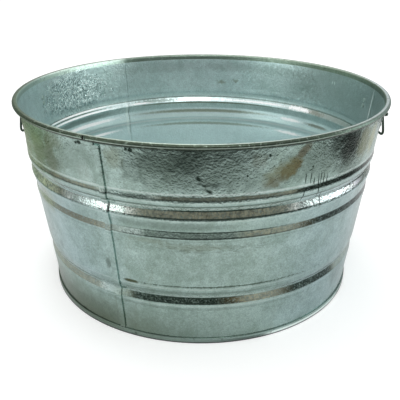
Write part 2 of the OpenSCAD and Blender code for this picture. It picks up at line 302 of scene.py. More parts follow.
# The zinc coat: soft clouds, the grain of its crystals, and a skin like orange peel
def make_coat_group():
    tree, start, end = group("zinc_coat", [("Place", "Vector"), ("Peel", "Float", 1.0)],
                             [("Cloud", "Float"), ("Grain", "Float"), ("Height", "Float")])
    place = start.outputs["Place"]
    wide = noise_of(tree, place, 11.0, 4, 0.55, 0.4)
    near = noise_of(tree, place, 45.0, 4, 0.6, 0.6)
    cloud = scaled(tree, near, 0.45, product(tree, wide, 0.55))
    crystals = put(tree, "ShaderNodeTexVoronoi", {"Vector": place, "Scale": 190.0, "Randomness": 1.0})
    spangle = put(tree, "ShaderNodeSeparateColor", {0: crystals.outputs["Color"]}).outputs[0]
    peel = noise_of(tree, place, 330.0, 2, 0.5, 0.2)
    ripple = noise_of(tree, place, 120.0, 2, 0.5, 0.8)
    fine = noise_of(tree, place, 1500.0, 2, 0.5)
    deep = start.outputs["Peel"]
    waves = scaled(tree, ripple, product(tree, deep, 0.00030), product(tree, peel, product(tree, deep, 0.00028)))
    height = scaled(tree, fine, 0.000012, waves)
    height = scaled(tree, spangle, 0.000008, height)
    for k, value in enumerate((cloud, spangle, height)):
        tree.links.new(value, end.inputs[k])
    return tree


# A patch on the wall, soft or ragged at its edge
def make_patch_group():
    tree, start, end = group("patch_on_wall", [("Azimuth", "Float"), ("Height", "Float"), ("Ragged", "Float"),
                             ("At", "Float"), ("Up", "Float"), ("Wide", "Float", 5.0), ("Tall", "Float", 10.0),
                             ("Lean", "Float"), ("Break", "Float", 0.5), ("Strength", "Float", 1.0)],
                             [("Mask", "Float")])
    given = start.outputs
    above = math_node(tree, "SUBTRACT", given["Height"], given["Up"])
    leaned = product(tree, above, given["Lean"])
    across = math_node(tree, "SUBTRACT", math_node(tree, "SUBTRACT", given["Azimuth"], given["At"]), leaned)
    u = math_node(tree, "DIVIDE", across, given["Wide"])
    v = math_node(tree, "DIVIDE", above, given["Tall"])
    far = math_node(tree, "SQRT", math_node(tree, "ADD", product(tree, u, u), product(tree, v, v)))
    torn = product(tree, math_node(tree, "SUBTRACT", given["Ragged"], 0.5), given["Break"])
    mask = fade(tree, math_node(tree, "ADD", far, torn), 1.0, 0.35)
    tree.links.new(math_node(tree, "MULTIPLY", mask, given["Strength"], clamp=True), end.inputs[0])
    return tree


# A band round the wall between two heights
def make_band_group():
    tree, start, end = group("band_round_wall", [("Height", "Float"), ("Low", "Float"), ("High", "Float"),
                             ("Soft", "Float", 1.0)], [("Mask", "Float")])
    given = start.outputs
    rise = put(tree, "ShaderNodeMapRange", {"Value": given["Height"], "From Min": given["Low"],
               "From Max": math_node(tree, "ADD", given["Low"], given["Soft"])}, interpolation_type="SMOOTHSTEP")
    fall = put(tree, "ShaderNodeMapRange", {"Value": given["Height"],
               "From Min": math_node(tree, "SUBTRACT", given["High"], given["Soft"]), "From Max": given["High"],
               "To Min": 1.0, "To Max": 0.0}, interpolation_type="SMOOTHSTEP")
    tree.links.new(product(tree, rise.outputs[0], fall.outputs[0]), end.inputs[0])
    return tree


PLACE = make_place_group()
COAT = make_coat_group()
PATCH = make_patch_group()
BAND = make_band_group()

# Colours of the stains and of what lies in the folds of the zinc. Soot and murk serve also as painted shade and
# painted dark reflections, and pale, white and silver as painted highlights
SOOT_AND_SHADE = (0.031, 0.048, 0.038)
SHADE = (0.135, 0.165, 0.105)
MURK_AND_SHADE = (0.120, 0.168, 0.138)
UMBER = (0.12, 0.108, 0.060)
RUST = (0.105, 0.078, 0.036)
DRAB = (0.165, 0.170, 0.122)
SILVER_HIGHLIGHT = (0.86, 0.90, 0.84)
OLIVE = (0.20, 0.22, 0.13)
TAN = (0.166, 0.154, 0.090)
PALE_HIGHLIGHT = (0.84, 0.96, 0.92)
WHITE_HIGHLIGHT = (1.0, 1.0, 1.0)
STRAW = (0.62, 0.68, 0.40)
MOSS = (0.32, 0.38, 0.22)

# The share of its metal that the zinc loses where it is matt
MATT_TAKES = 0.8


def zinc(name, dark, light, roughness, peel=1.0, metallic=1.0, marks=None):
    """A galvanized finish between two colours, with what its marks lay on it: stains, painted highlights and painted
    shade.
    """
    material = bpy.data.materials.new(name)
    material.use_nodes = True
    tree = material.node_tree
    shader = tree.nodes["Principled BSDF"]
    place = put(tree, "ShaderNodeTexCoord").outputs["Object"]
    where = use(tree, PLACE, {"Place": place})
    coat = use(tree, COAT, {"Place": place, "Peel": peel})
    tone = fade(tree, coat["Cloud"], 0.36, 0.64)
    colour = mixed(tree, tone, (*dark, 1), (*light, 1))
    salt = noise_of(tree, place, 620.0, 2, 0.6, 0.3)
    grain = scaled(tree, coat["Grain"], 0.10, scaled(tree, salt, 1.0, 0.45))
    colour = times(tree, colour, grey_of(tree, grain))
    rough = scaled(tree, tone, -0.06, roughness + 0.03)
    height = coat["Height"]
    if marks:
        colour, rough, height, matt = marks(tree, place, where, colour, rough, height)
        if matt:
            left = scaled(tree, matt, -MATT_TAKES * metallic, metallic)
            tree.links.new(left, shader.inputs["Metallic"])
    bump = put(tree, "ShaderNodeBump", {"Height": height, "Strength": 1.0, "Distance": 1.0})
    tree.links.new(colour, shader.inputs["Base Color"])
    tree.links.new(rough, shader.inputs["Roughness"])
    tree.links.new(bump.outputs[0], shader.inputs["Normal"])
    shader.inputs["Metallic"].default_value = metallic
    return material


# Patches: stains, and in the broad soft ones painted shade and painted dark reflections (low at the left and the
# back, at the front below the rim and on the right side), with a faint painted highlight in pale. Columns: azimuth,
# height, half width in degrees, half height in mm, lean, raggedness, strength, colour
STAINS_AND_SHADE = (
    (-44.6, 270, 4.5, 44, -0.02, 1.3, 0.66, OLIVE), (-52, 275, 6, 44, 0, 1.2, 0.60, MOSS),
    (-66, 280, 12, 48, 0, 1.2, 0.70, MOSS), (-31, 262, 4, 26, 0, 1.2, 0.15, PALE_HIGHLIGHT),
    (-34, 285, 16, 40, 0, 1.6, 0.30, MURK_AND_SHADE), (-42, 300, 6, 14, 0, 1.5, 0.4, OLIVE),
    (-48, 262, 12, 30, 0, 1.4, 0.40, MURK_AND_SHADE), (-20.5, 296, 3.5, 22, 0, 1.5, 0.45, OLIVE),
    (-16, 285, 5, 34, 0, 1.5, 0.35, MURK_AND_SHADE), (1, 287, 25, 42, 0, 1.0, 0.62, MURK_AND_SHADE),
    (-8, 296, 12, 24, 0, 1.5, 0.24, SOOT_AND_SHADE), (-1, 298, 6, 22, 0.03, 1.4, 0.42, SOOT_AND_SHADE),
    (11, 305, 12, 13, 0, 1.3, 0.36, SOOT_AND_SHADE), (17, 262, 12, 20, 0, 1.3, 0.40, MURK_AND_SHADE),
    (34, 285, 16, 34, 0, 1.2, 0.60, MURK_AND_SHADE), (1.1, 274, 1.3, 5.0, -0.13, 2.8, 1.0, SOOT_AND_SHADE),
    (2.3, 265, 1.4, 6.5, -0.13, 2.8, 1.0, SOOT_AND_SHADE), (3.6, 257, 1.2, 5.0, -0.13, 2.8, 1.0, SOOT_AND_SHADE),
    (4.5, 266, 2.4, 9, -0.1, 2.6, 0.6, SOOT_AND_SHADE), (24.9, 281, 3.8, 13, 0.16, 2.2, 1.2, RUST),
    (24.6, 279, 2.0, 6, 0.16, 2.4, 0.7, UMBER), (28.2, 303, 2.6, 15, 0.12, 1.5, 0.7, RUST),
    (22.6, 277, 6, 24, 0.18, 1.5, 0.6, OLIVE), (21.0, 265, 4.0, 12, 0.16, 1.3, 0.55, UMBER),
    (16, 296, 3.0, 16, 0, 1.6, 0.30, UMBER), (46.0, 290, 8.0, 36, 0.02, 1.0, 0.95, SOOT_AND_SHADE),
    (53, 288, 5.0, 36, 0, 1.0, 0.70, OLIVE), (48, 258, 8, 26, 0, 1.2, 0.50, MURK_AND_SHADE),
    (41, 305, 7, 16, 0, 1.2, 0.6, SOOT_AND_SHADE), (60, 286, 3.6, 32, 0, 0.8, 0.75, (0.42, 0.45, 0.26)),
    (18.7, 303, 0.45, 3.2, 0, 0.8, 1.2, SOOT_AND_SHADE), (13.2, 277, 0.35, 2.2, 0, 0.8, 1.2, SOOT_AND_SHADE),
    (31.9, 277, 0.35, 2.5, 0, 0.8, 1.2, SOOT_AND_SHADE), (31.4, 273, 0.6, 2.0, 0.3, 0.8, 1.0, SOOT_AND_SHADE),
    (33.0, 253, 0.25, 1.5, 0, 0.8, 1.0, SOOT_AND_SHADE), (-30.8, 310, 0.9, 3.5, 0, 1.6, 1.2, SOOT_AND_SHADE),
    (-31.9, 308.5, 0.5, 2.5, 0, 1.6, 1.1, SOOT_AND_SHADE), (-15.8, 310, 0.8, 4.0, 0, 1.6, 1.2, SOOT_AND_SHADE),
    (-16.9, 311, 0.6, 3.0, 0, 1.6, 1.0, SOOT_AND_SHADE), (-51, 115, 2.4, 9, 0, 1.6, 0.25, MURK_AND_SHADE),
    (-27.4, 124, 1.4, 12, 0, 1.5, 0.6, MURK_AND_SHADE), (0, 170, 13, 8, 0, 1.6, 0.3, OLIVE),
    (-13, 178, 7, 5, 0, 1.6, 0.3, OLIVE), (-42, 16, 24, 46, 0, 1.0, 0.40, MURK_AND_SHADE), (0, 150, 22, 60, 0, 1.0, 0.15, MURK_AND_SHADE),
    (-20.2, 102.5, 3.4, 3.6, 0, 1.6, 1.1, (0.10, 0.12, 0.07)), (-6, 203, 24, 9, 0, 0.8, 0.46, MURK_AND_SHADE),
    (57, 60, 7, 30, 0, 1.0, 0.30, MURK_AND_SHADE), (-53, 192, 6, 26, 0, 1.2, 0.40, MOSS),
    (100, 280, 9, 34, 0, 1.4, 0.55, UMBER), (131, 270, 14, 30, 0, 1.6, 0.5, SOOT_AND_SHADE),
    (171, 292, 22, 30, 0.05, 2.2, 0.42, SOOT_AND_SHADE), (-159, 276, 15, 40, -0.06, 2.2, 0.45, MURK_AND_SHADE),
    (152, 270, 9, 26, -0.05, 2.2, 0.40, OLIVE), (-118, 288, 17, 32, 0, 2.0, 0.5, SOOT_AND_SHADE),
    (150, 120, 12, 26, 0, 1.7, 0.3, OLIVE), (-100, 285, 16, 34, 0, 1.3, 0.4, MURK_AND_SHADE),
    (-130, 100, 14, 22, 0, 1.7, 0.3, OLIVE), (-95, 160, 9, 26, 0, 1.7, 0.3, SOOT_AND_SHADE),
    (175, 20, 30, 26, 0, 1.0, 0.4, MURK_AND_SHADE))

# Lines along the beads: the pale and white ones are painted highlights on the folds, the dark ones painted dark
# reflections and dirt held in the folds: as the patches
LIGHT_AND_DIRT_LINES = (
    (0, 251.2, 4000, 2.2, 0, 1.0, 0.40, PALE_HIGHLIGHT), (0, 243.2, 4000, 1.5, 0, 0.8, 0.60, SOOT_AND_SHADE),
    (0, 239.2, 4000, 2.0, 0, 0.8, 0.20, PALE_HIGHLIGHT), (0, 233.6, 4000, 1.7, 0, 0.3, 0.66, MURK_AND_SHADE),
    (0, 229.9, 4000, 2.0, 0, 0.5, 0.50, PALE_HIGHLIGHT), (6, 226.0, 27, 1.6, 0, 0.6, 1.2, SOOT_AND_SHADE),
    (60, 224.6, 16, 1.4, 0, 0.6, 1.0, SOOT_AND_SHADE), (8, 215.3, 60, 1.6, 0, 0.7, 1.0, SOOT_AND_SHADE),
    (0, 211, 4000, 1.8, 0, 1.2, 0.15, PALE_HIGHLIGHT), (4, 193.8, 32, 1.4, 0, 0.8, 1.1, SOOT_AND_SHADE),
    (4, 184.7, 40, 1.7, 0, 0.9, 0.9, SOOT_AND_SHADE), (0, 180.4, 4000, 2.2, 0, 1.2, 0.2, MURK_AND_SHADE),
    (8, 102.6, 34, 1.7, 0, 2.6, 1.1, MURK_AND_SHADE), (0, 98, 60, 2.0, 0, 0.4, 0.25, PALE_HIGHLIGHT),
    (0, 90.5, 40, 4.0, 0, 0.6, 0.45, MURK_AND_SHADE), (0, 84.4, 60, 2.0, 0, 0.6, 0.35, PALE_HIGHLIGHT),
    (0, 81.2, 24, 1.5, 0, 0.7, 0.8, SOOT_AND_SHADE), (0, 72.6, 26, 1.8, 0, 1.0, 0.6, SOOT_AND_SHADE),
    (4, 67.5, 60, 1.6, 0, 0.6, 0.3, PALE_HIGHLIGHT), (0, 62.5, 60, 3.2, 0, 0.7, 0.25, MURK_AND_SHADE),
    (50, 220.0, 13, 5.2, 0, 0.3, 1.0, WHITE_HIGHLIGHT), (150, 226.0, 60, 1.6, 0, 0.8, 1.0, SOOT_AND_SHADE),
    (-150, 184.7, 60, 1.7, 0, 0.9, 0.9, SOOT_AND_SHADE), (170, 81.2, 60, 1.5, 0, 0.7, 0.8, SOOT_AND_SHADE))

# Runs of flux below the shoulder: azimuth and height of the top, azimuth and height of the end
RUNS = (
    (29.9, 273, 30.3, 250), (30.3, 250, 29.6, 224), (31.8, 273, 31.9, 248), (34.3, 271, 35.5, 221),
    (35.3, 270, 35.7, 245), (36.5, 269, 36.7, 240), (36.7, 242, 36.8, 205), (33.0, 262, 33.3, 246),
    (37.8, 263, 38.1, 238), (132.4, 262, 132.8, 222), (134.1, 268, 134.1, 216), (-150.3, 266, -150.7, 222),
    (-148.2, 270, -148.2, 240))

# The upright face of each bead, painted with stains and with reflections: dark bands where it would mirror dark
# surroundings, silver and pale highlights where it would mirror the lamps. Its heights, then azimuth, strength and
# colour round the tub
FACE_STAINS_AND_REFLECTIONS = (
    (241.6, 249.0, (
        (-180, 0.5, SOOT_AND_SHADE), (-120, 0.7, UMBER), (-80, 0.6, MOSS), (-58, 0.6, MOSS), (-48, 0.7, UMBER),
        (-43, 0.72, TAN), (-28, 0.65, TAN), (-23, 0.1, PALE_HIGHLIGHT), (-14, 0.15, PALE_HIGHLIGHT), (-9, 0.66, UMBER), (8, 0.66, UMBER),
        (21, 0.65, UMBER), (26, 0.70, TAN), (30, 0.9, SOOT_AND_SHADE), (55, 1.0, SOOT_AND_SHADE), (90, 0.6, UMBER), (130, 0.8, SOOT_AND_SHADE),
        (160, 0.6, TAN), (180, 0.5, SOOT_AND_SHADE))),
    (213.6, 226.2, (
        (-180, 0.5, SOOT_AND_SHADE), (-110, 0.7, MOSS), (-62, 0.72, MOSS), (-52, 0.7, STRAW), (-43, 0.75, TAN),
        (-36, 0.6, SILVER_HIGHLIGHT), (-29, 0.85, SILVER_HIGHLIGHT), (-21, 0.85, SILVER_HIGHLIGHT), (-15, 0.85, DRAB), (6, 0.95, DRAB),
        (17, 0.95, DRAB), (25, 0.8, DRAB), (31, 0.8, SILVER_HIGHLIGHT), (52, 0.8, SILVER_HIGHLIGHT), (58, 0.5, TAN), (95, 0.7, UMBER),
        (140, 0.4, TAN), (180, 0.5, SOOT_AND_SHADE))),
    (183.0, 194.0, (
        (-180, 0.5, TAN), (-130, 0.7, SOOT_AND_SHADE), (-85, 0.6, MOSS), (-56, 0.6, MOSS), (-46, 0.75, UMBER),
        (-34, 0.75, UMBER), (-29, 0.75, TAN), (-23, 0.3, TAN), (-18, 0.25, PALE_HIGHLIGHT), (-14, 0.60, MURK_AND_SHADE), (10, 0.66, MURK_AND_SHADE),
        (16, 0.72, TAN), (26, 0.65, TAN), (30, 0.75, UMBER), (38, 1.0, SOOT_AND_SHADE), (66, 1.0, SOOT_AND_SHADE), (100, 0.6, TAN),
        (150, 0.8, SOOT_AND_SHADE), (180, 0.5, TAN))),
    (70.0, 82.4, (
        (-180, 0.7, SOOT_AND_SHADE), (-120, 0.6, TAN), (-70, 0.5, OLIVE), (-44, 0.65, TAN), (-34, 0.6, TAN), (-28, 0.25, PALE_HIGHLIGHT),
        (-24, 0.3, OLIVE), (-19, 1.0, SOOT_AND_SHADE), (6, 1.0, SOOT_AND_SHADE), (13, 0.9, UMBER), (16, 0.75, TAN), (23, 0.72, TAN),
        (27, 0.75, UMBER), (33, 1.0, SOOT_AND_SHADE), (50, 1.0, SOOT_AND_SHADE), (56, 0.4, OLIVE), (90, 0.5, TAN), (140, 0.8, SOOT_AND_SHADE),
        (180, 0.7, SOOT_AND_SHADE))))

# Patches and lines inside: stains, painted highlights in the white and pale lines round the beads and along the
# seams, and painted shade and dark reflections in the broad dark patches and dark lines
INSIDE_STAINS_AND_LIGHT = (
    (92, 265, 40, 95, 0, 0.6, 0.68, (0.24, 0.32, 0.30)), (122, 284, 24, 60, 0, 0.8, 0.46, (0.32, 0.40, 0.38)),
    (173, 268, 2.2, 5, 0, 3.0, 0.55, OLIVE), (167, 271, 1.8, 4, 0, 3.0, 0.55, OLIVE),
    (-160, 300, 30, 16, 0, 1.2, 0.22, MURK_AND_SHADE), (160, 300, 34, 14, 0, 1.2, 0.30, MURK_AND_SHADE),
    (146, 275, 22, 44, 0, 1.2, 0.40, MURK_AND_SHADE), (-142, 285, 16, 50, 0, 1.2, 0.20, MURK_AND_SHADE),
    (-129, 306, 15, 16, 0, 1.2, 0.5, (0.30, 0.40, 0.39)), (-145.7, 200, 0.22, 60, 0, 1.0, 0.8, MURK_AND_SHADE),
    (95.4, 285, 0.22, 42, 0, 0.3, 1.2, WHITE_HIGHLIGHT), (121.3, 297, 0.22, 4.5, 0.05, 0.3, 1.0, PALE_HIGHLIGHT),
    (122.5, 297, 0.22, 4.5, -0.05, 0.3, 1.0, PALE_HIGHLIGHT), (0, 241.5, 4000, 4.6, 0, 0.3, 0.35, PALE_HIGHLIGHT),
    (0, 235.8, 4000, 1.6, 0, 0.4, 0.75, MURK_AND_SHADE), (180, 224.6, 44, 2.2, 0, 0.6, 0.8, OLIVE),
    (-180, 224.6, 44, 2.2, 0, 0.6, 0.8, OLIVE), (-118, 231.2, 27, 1.3, 0, 0.6, 1.2, MURK_AND_SHADE),
    (-118, 218, 27, 8, 0, 0.4, 0.5, MURK_AND_SHADE), (-118, 192, 27, 8, 0, 0.4, 0.3, MURK_AND_SHADE),
    (-158, 231, 14, 4.5, 0, 2.4, 0.7, MURK_AND_SHADE), (120, 231, 20, 7, 0, 1.2, 0.62, (0.36, 0.40, 0.38)),
    (130, 231, 9, 5, 0, 1.6, 0.5, TAN), (180, 206, 38, 4.6, 0, 0.5, 0.75, OLIVE),
    (-180, 206, 40, 4.6, 0, 0.5, 0.75, OLIVE), (180, 178.5, 38, 4.0, 0, 0.6, 0.62, OLIVE),
    (-180, 178.5, 36, 4.0, 0, 0.6, 0.62, OLIVE), (0, 189.6, 4000, 2.8, 0, 0.3, 0.5, WHITE_HIGHLIGHT),
    (0, 197, 4000, 3.5, 0, 0.3, 0.3, PALE_HIGHLIGHT), (127, 205, 8, 4.0, 0, 0.9, 0.7, TAN))

# Painted highlights inside: white lines along the beads and the seams, made matt so that they stay white
INSIDE_HIGHLIGHTS = (
    (-121, 234.2, 25, 1.9, 0, 0.9, 1.0, WHITE_HIGHLIGHT), (-121, 228, 25, 1.9, 0, 0.9, 1.0, WHITE_HIGHLIGHT),
    (-123, 205, 22, 4.2, 0, 0.9, 1.2, WHITE_HIGHLIGHT), (-125, 179, 20, 3.6, 0, 0.9, 1.2, WHITE_HIGHLIGHT),
    (-151, 229, 7, 2.2, 0, 2.4, 0.8, WHITE_HIGHLIGHT), (158, 230.6, 22, 2.6, 0, 1.6, 0.8, WHITE_HIGHLIGHT),
    (137, 231, 7, 5.5, 0, 2.6, 1.0, WHITE_HIGHLIGHT), (141, 204.5, 7, 4.0, 0, 1.8, 1.1, WHITE_HIGHLIGHT),
    (141, 177, 8, 4.0, 0, 1.8, 1.1, WHITE_HIGHLIGHT), (95.0, 285, 0.20, 42, 0, 0.3, 0.9, PALE_HIGHLIGHT),
    (-144.7, 205, 0.6, 44, 0, 1.8, 0.6, PALE_HIGHLIGHT))


def round_ramp(tree, where, stops):
    """Colour and strength round the tub, from stops of azimuth, strength and colour."""
    share = scaled(tree, where["Azimuth"], 1 / 360, 0.5)
    ramp = put(tree, "ShaderNodeValToRGB", {0: share})
    while len(ramp.color_ramp.elements) > 1:
        ramp.color_ramp.elements.remove(ramp.color_ramp.elements[-1])
    for k, (azimuth, strength, colour) in enumerate(stops):
        at = (azimuth + 180) / 360
        stop = ramp.color_ramp.elements[0] if k == 0 else ramp.color_ramp.elements.new(at)
        stop.position = at
        stop.color = (*colour, strength)
    return ramp.outputs


def patch(tree, where, ragged, at, up, wide, tall, lean=0.0, torn=1.0, strength=1.0):
    """The mask of one patch, with the values of a row of the tables."""
    return use(tree, PATCH, {"Azimuth": where["Azimuth"], "Height": where["Height"], "Ragged": ragged, "At": at,
               "Up": up, "Wide": wide, "Tall": tall, "Lean": lean, "Break": torn, "Strength": strength})["Mask"]


def lay(tree, where, ragged, colour, patches):
    """Lays each patch of a table over the colour, and returns it with their masks."""
    masks = []
    for *values, tint in patches:
        masks.append(patch(tree, where, ragged, *values))
        colour = mixed(tree, masks[-1], colour, (*tint, 1))
    return colour, masks


# The shade near the ground round the tub
GROUND = (
    (-180, 0.5, MURK_AND_SHADE), (-95, 0.78, SHADE), (-32, 0.72, SHADE), (-15, 0.50, SHADE), (0, 0.38, MURK_AND_SHADE), (14, 0.25, MURK_AND_SHADE),
    (24, 0.0, MURK_AND_SHADE), (80, 0.0, MURK_AND_SHADE), (120, 0.5, MURK_AND_SHADE), (180, 0.5, MURK_AND_SHADE))

# Dull olive patches at the two sides, which take the gloss as well: as the patches
DULL_SIDE_PATCHES = ((54.5, 287, 5.0, 30, 0, 1.2, 0.75, (0.15, 0.18, 0.105)), (-56, 192, 6, 24, 0, 1.2, 0.5, (0.22, 0.28, 0.17)))


def outside_marks_and_painted_light(tree, place, where, colour, rough, height):
    ragged = noise_of(tree, place, 60.0, 5, 0.65, 0.5)
    fine = noise_of(tree, place, 420.0, 3, 0.6, 0.4)
    torn = noise_of(tree, place, 190.0, 4, 0.7, 0.4)
    streak = put(tree, "ShaderNodeMapping", {"Vector": place, "Scale": (1, 1, 0.12)}).outputs[0]
    smear = noise_of(tree, streak, 60.0, 4, 0.6, 0.2)
    colour = mixed(tree, fade(tree, smear, 0.50, 0.78, 0, 0.18), colour, (*OLIVE, 1))
    colour = mixed(tree, fade(tree, torn, 0.60, 0.70, 0, 0.28), colour, (*MURK_AND_SHADE, 1))
    both = scaled(tree, fine, 0.5, product(tree, torn, 0.5))
    colour = times(tree, colour, grey_of(tree, fade(tree, both, 0.38, 0.62, 0.88, 1.08)))
    squashed = put(tree, "ShaderNodeMapping", {"Vector": place, "Scale": (1, 1, 4.5)}).outputs[0]
    creases = fade(tree, noise_of(tree, squashed, 95.0, 4, 0.65, 0.8), 0.50, 0.60)
    near = patch(tree, where, ragged, 2.0, 169.0, 30.0, 12.0, strength=0.6)
    colour = mixed(tree, product(tree, creases, near), colour, (*MURK_AND_SHADE, 1))
    # Stains, and painted shade and painted dark reflections in the broad soft patches
    colour = lay(tree, where, ragged, colour, STAINS_AND_SHADE)[0]

    # Runs, which wander a little from their line
    wandering = {"Azimuth": scaled(tree, ragged, 0.5, where["Azimuth"]), "Height": where["Height"]}
    runs = [patch(tree, wandering, fine, (at + end) / 2 + 0.25, (up + low) / 2, 0.24, (up - low) / 2,
                  (at - end) / (up - low), 0.5, 1.1) for at, up, end, low in RUNS]

    # Faces of the beads, with stains and painted reflections: a pale mark is matt and gritty, a dark one has flecks,
    # and the silver painted highlight stays bright
    speckle = fade(tree, fine, 0.32, 0.52, 0.55, 1.1)
    grit = grey_of(tree, fade(tree, both, 0.40, 0.60, 0.45, 1.45))
    flecks = fade(tree, torn, 0.54, 0.60, 0.0, 0.8)
    matt = []
    for low, high, stops in FACE_STAINS_AND_REFLECTIONS:
        band = use(tree, BAND, {"Height": where["Height"], "Low": low, "High": high, "Soft": 1.6})["Mask"]
        laid = round_ramp(tree, where, stops)
        tint = laid["Color"]
        mask = math_node(tree, "MULTIPLY", product(tree, band, laid["Alpha"]), speckle, clamp=True)
        red = put(tree, "ShaderNodeSeparateColor", {0: tint}).outputs[0]
        pale = fade(tree, red, 0.08, 0.15)
        dim = fade(tree, red, 0.75, 0.55)
        gritty = mixed(tree, product(tree, pale, dim), tint, times(tree, tint, grit))
        gritty = mixed(tree, product(tree, flecks, fade(tree, red, 0.08, 0.04)), gritty, (*MURK_AND_SHADE, 1))
        colour = mixed(tree, mask, colour, gritty)
        matt.append(product(tree, product(tree, mask, product(tree, pale, 0.8)), dim))
    colour, dull_sides = lay(tree, where, ragged, colour, DULL_SIDE_PATCHES)
    # Painted highlights, painted dark reflections and dirt along the beads
    colour = lay(tree, where, torn, colour, LIGHT_AND_DIRT_LINES)[0]
    colour = mixed(tree, highest(tree, runs), colour, (*SOOT_AND_SHADE, 1))

    # Shade near the ground and below the rim, and a cooler tone low on the sides
    ground = round_ramp(tree, where, GROUND)
    shade = product(tree, fade(tree, where["Height"], 78.0, 4.0), ground["Alpha"])
    colour = mixed(tree, shade, colour, ground["Color"])
    rim = fade(tree, where["Height"], 311.5, 314.0)
    colour = mixed(tree, product(tree, rim, 0.75), colour, (*SOOT_AND_SHADE, 1))
    aside = math_node(tree, "ABSOLUTE", where["Azimuth"])
    slant = math_node(tree, "ADD", where["Azimuth"], where["Height"])
    cool = product(tree, fade(tree, aside, 12.0, 45.0), fade(tree, where["Height"], 262.0, 215.0),
                   fade(tree, slant, 10.0, 60.0), fade(tree, aside, 150.0, 95.0))
    colour = mixed(tree, cool, colour, times(tree, colour, (0.99, 1.0, 1.10, 1)))
    calm = fade(tree, where["Height"], 245.0, 150.0, 1.0, 0.6)
    return colour, rough, product(tree, height, calm), highest(tree, matt + dull_sides)


# The curl of the rim, painted with its colour and the reflections it would show round the tub, by its roll round the
# wire: the inner side, the top, the face, the low edge
RIM_INNER_REFLECTION = (
    (-180, 0, (0.20, 0.25, 0.22)), (-147, 0, (0.20, 0.25, 0.22)), (-144, 0, PALE_HIGHLIGHT), (-112, 0, PALE_HIGHLIGHT),
    (-98, 0, (0.45, 0.55, 0.53)), (-60, 0, (0.40, 0.48, 0.46)), (60, 0, (0.30, 0.36, 0.33)),
    (90, 0, (0.16, 0.20, 0.17)), (115, 0, (0.30, 0.37, 0.31)), (150, 0, (0.28, 0.34, 0.29)),
    (180, 0, (0.20, 0.25, 0.22)))
RIM_TOP_REFLECTION = (
    (-180, 0, (0.18, 0.22, 0.19)), (-140, 0, (0.25, 0.30, 0.27)), (-110, 0, (0.28, 0.32, 0.29)),
    (-85, 0, (0.18, 0.21, 0.18)), (-55, 0, (0.20, 0.23, 0.19)), (-38, 0, (0.50, 0.58, 0.53)),
    (0, 0, (0.62, 0.71, 0.67)), (40, 0, (0.60, 0.66, 0.66)), (62, 0, (0.80, 0.84, 0.90)), (95, 0, (0.74, 0.78, 0.84)),
    (115, 0, (0.36, 0.43, 0.38)), (180, 0, (0.18, 0.22, 0.19)))
RIM_FACE_REFLECTION = (
    (-180, 0, (0.20, 0.24, 0.21)), (-100, 0, (0.13, 0.15, 0.12)), (-60, 0, (0.10, 0.12, 0.09)),
    (-30, 0, (0.06, 0.075, 0.055)), (35, 0, (0.05, 0.065, 0.05)), (52, 0, (0.22, 0.27, 0.25)),
    (95, 0, (0.46, 0.50, 0.52)), (180, 0, (0.20, 0.24, 0.21)))

# The notch in the rim beside the first seam, painted as a dark spot of shade where the curl is not cut: azimuth,
# half width in degrees and colour
NOTCH_SHADE = ((-27.25, 0.16, SOOT_AND_SHADE), (-27.9, 0.34, (0.004, 0.004, 0.004)))


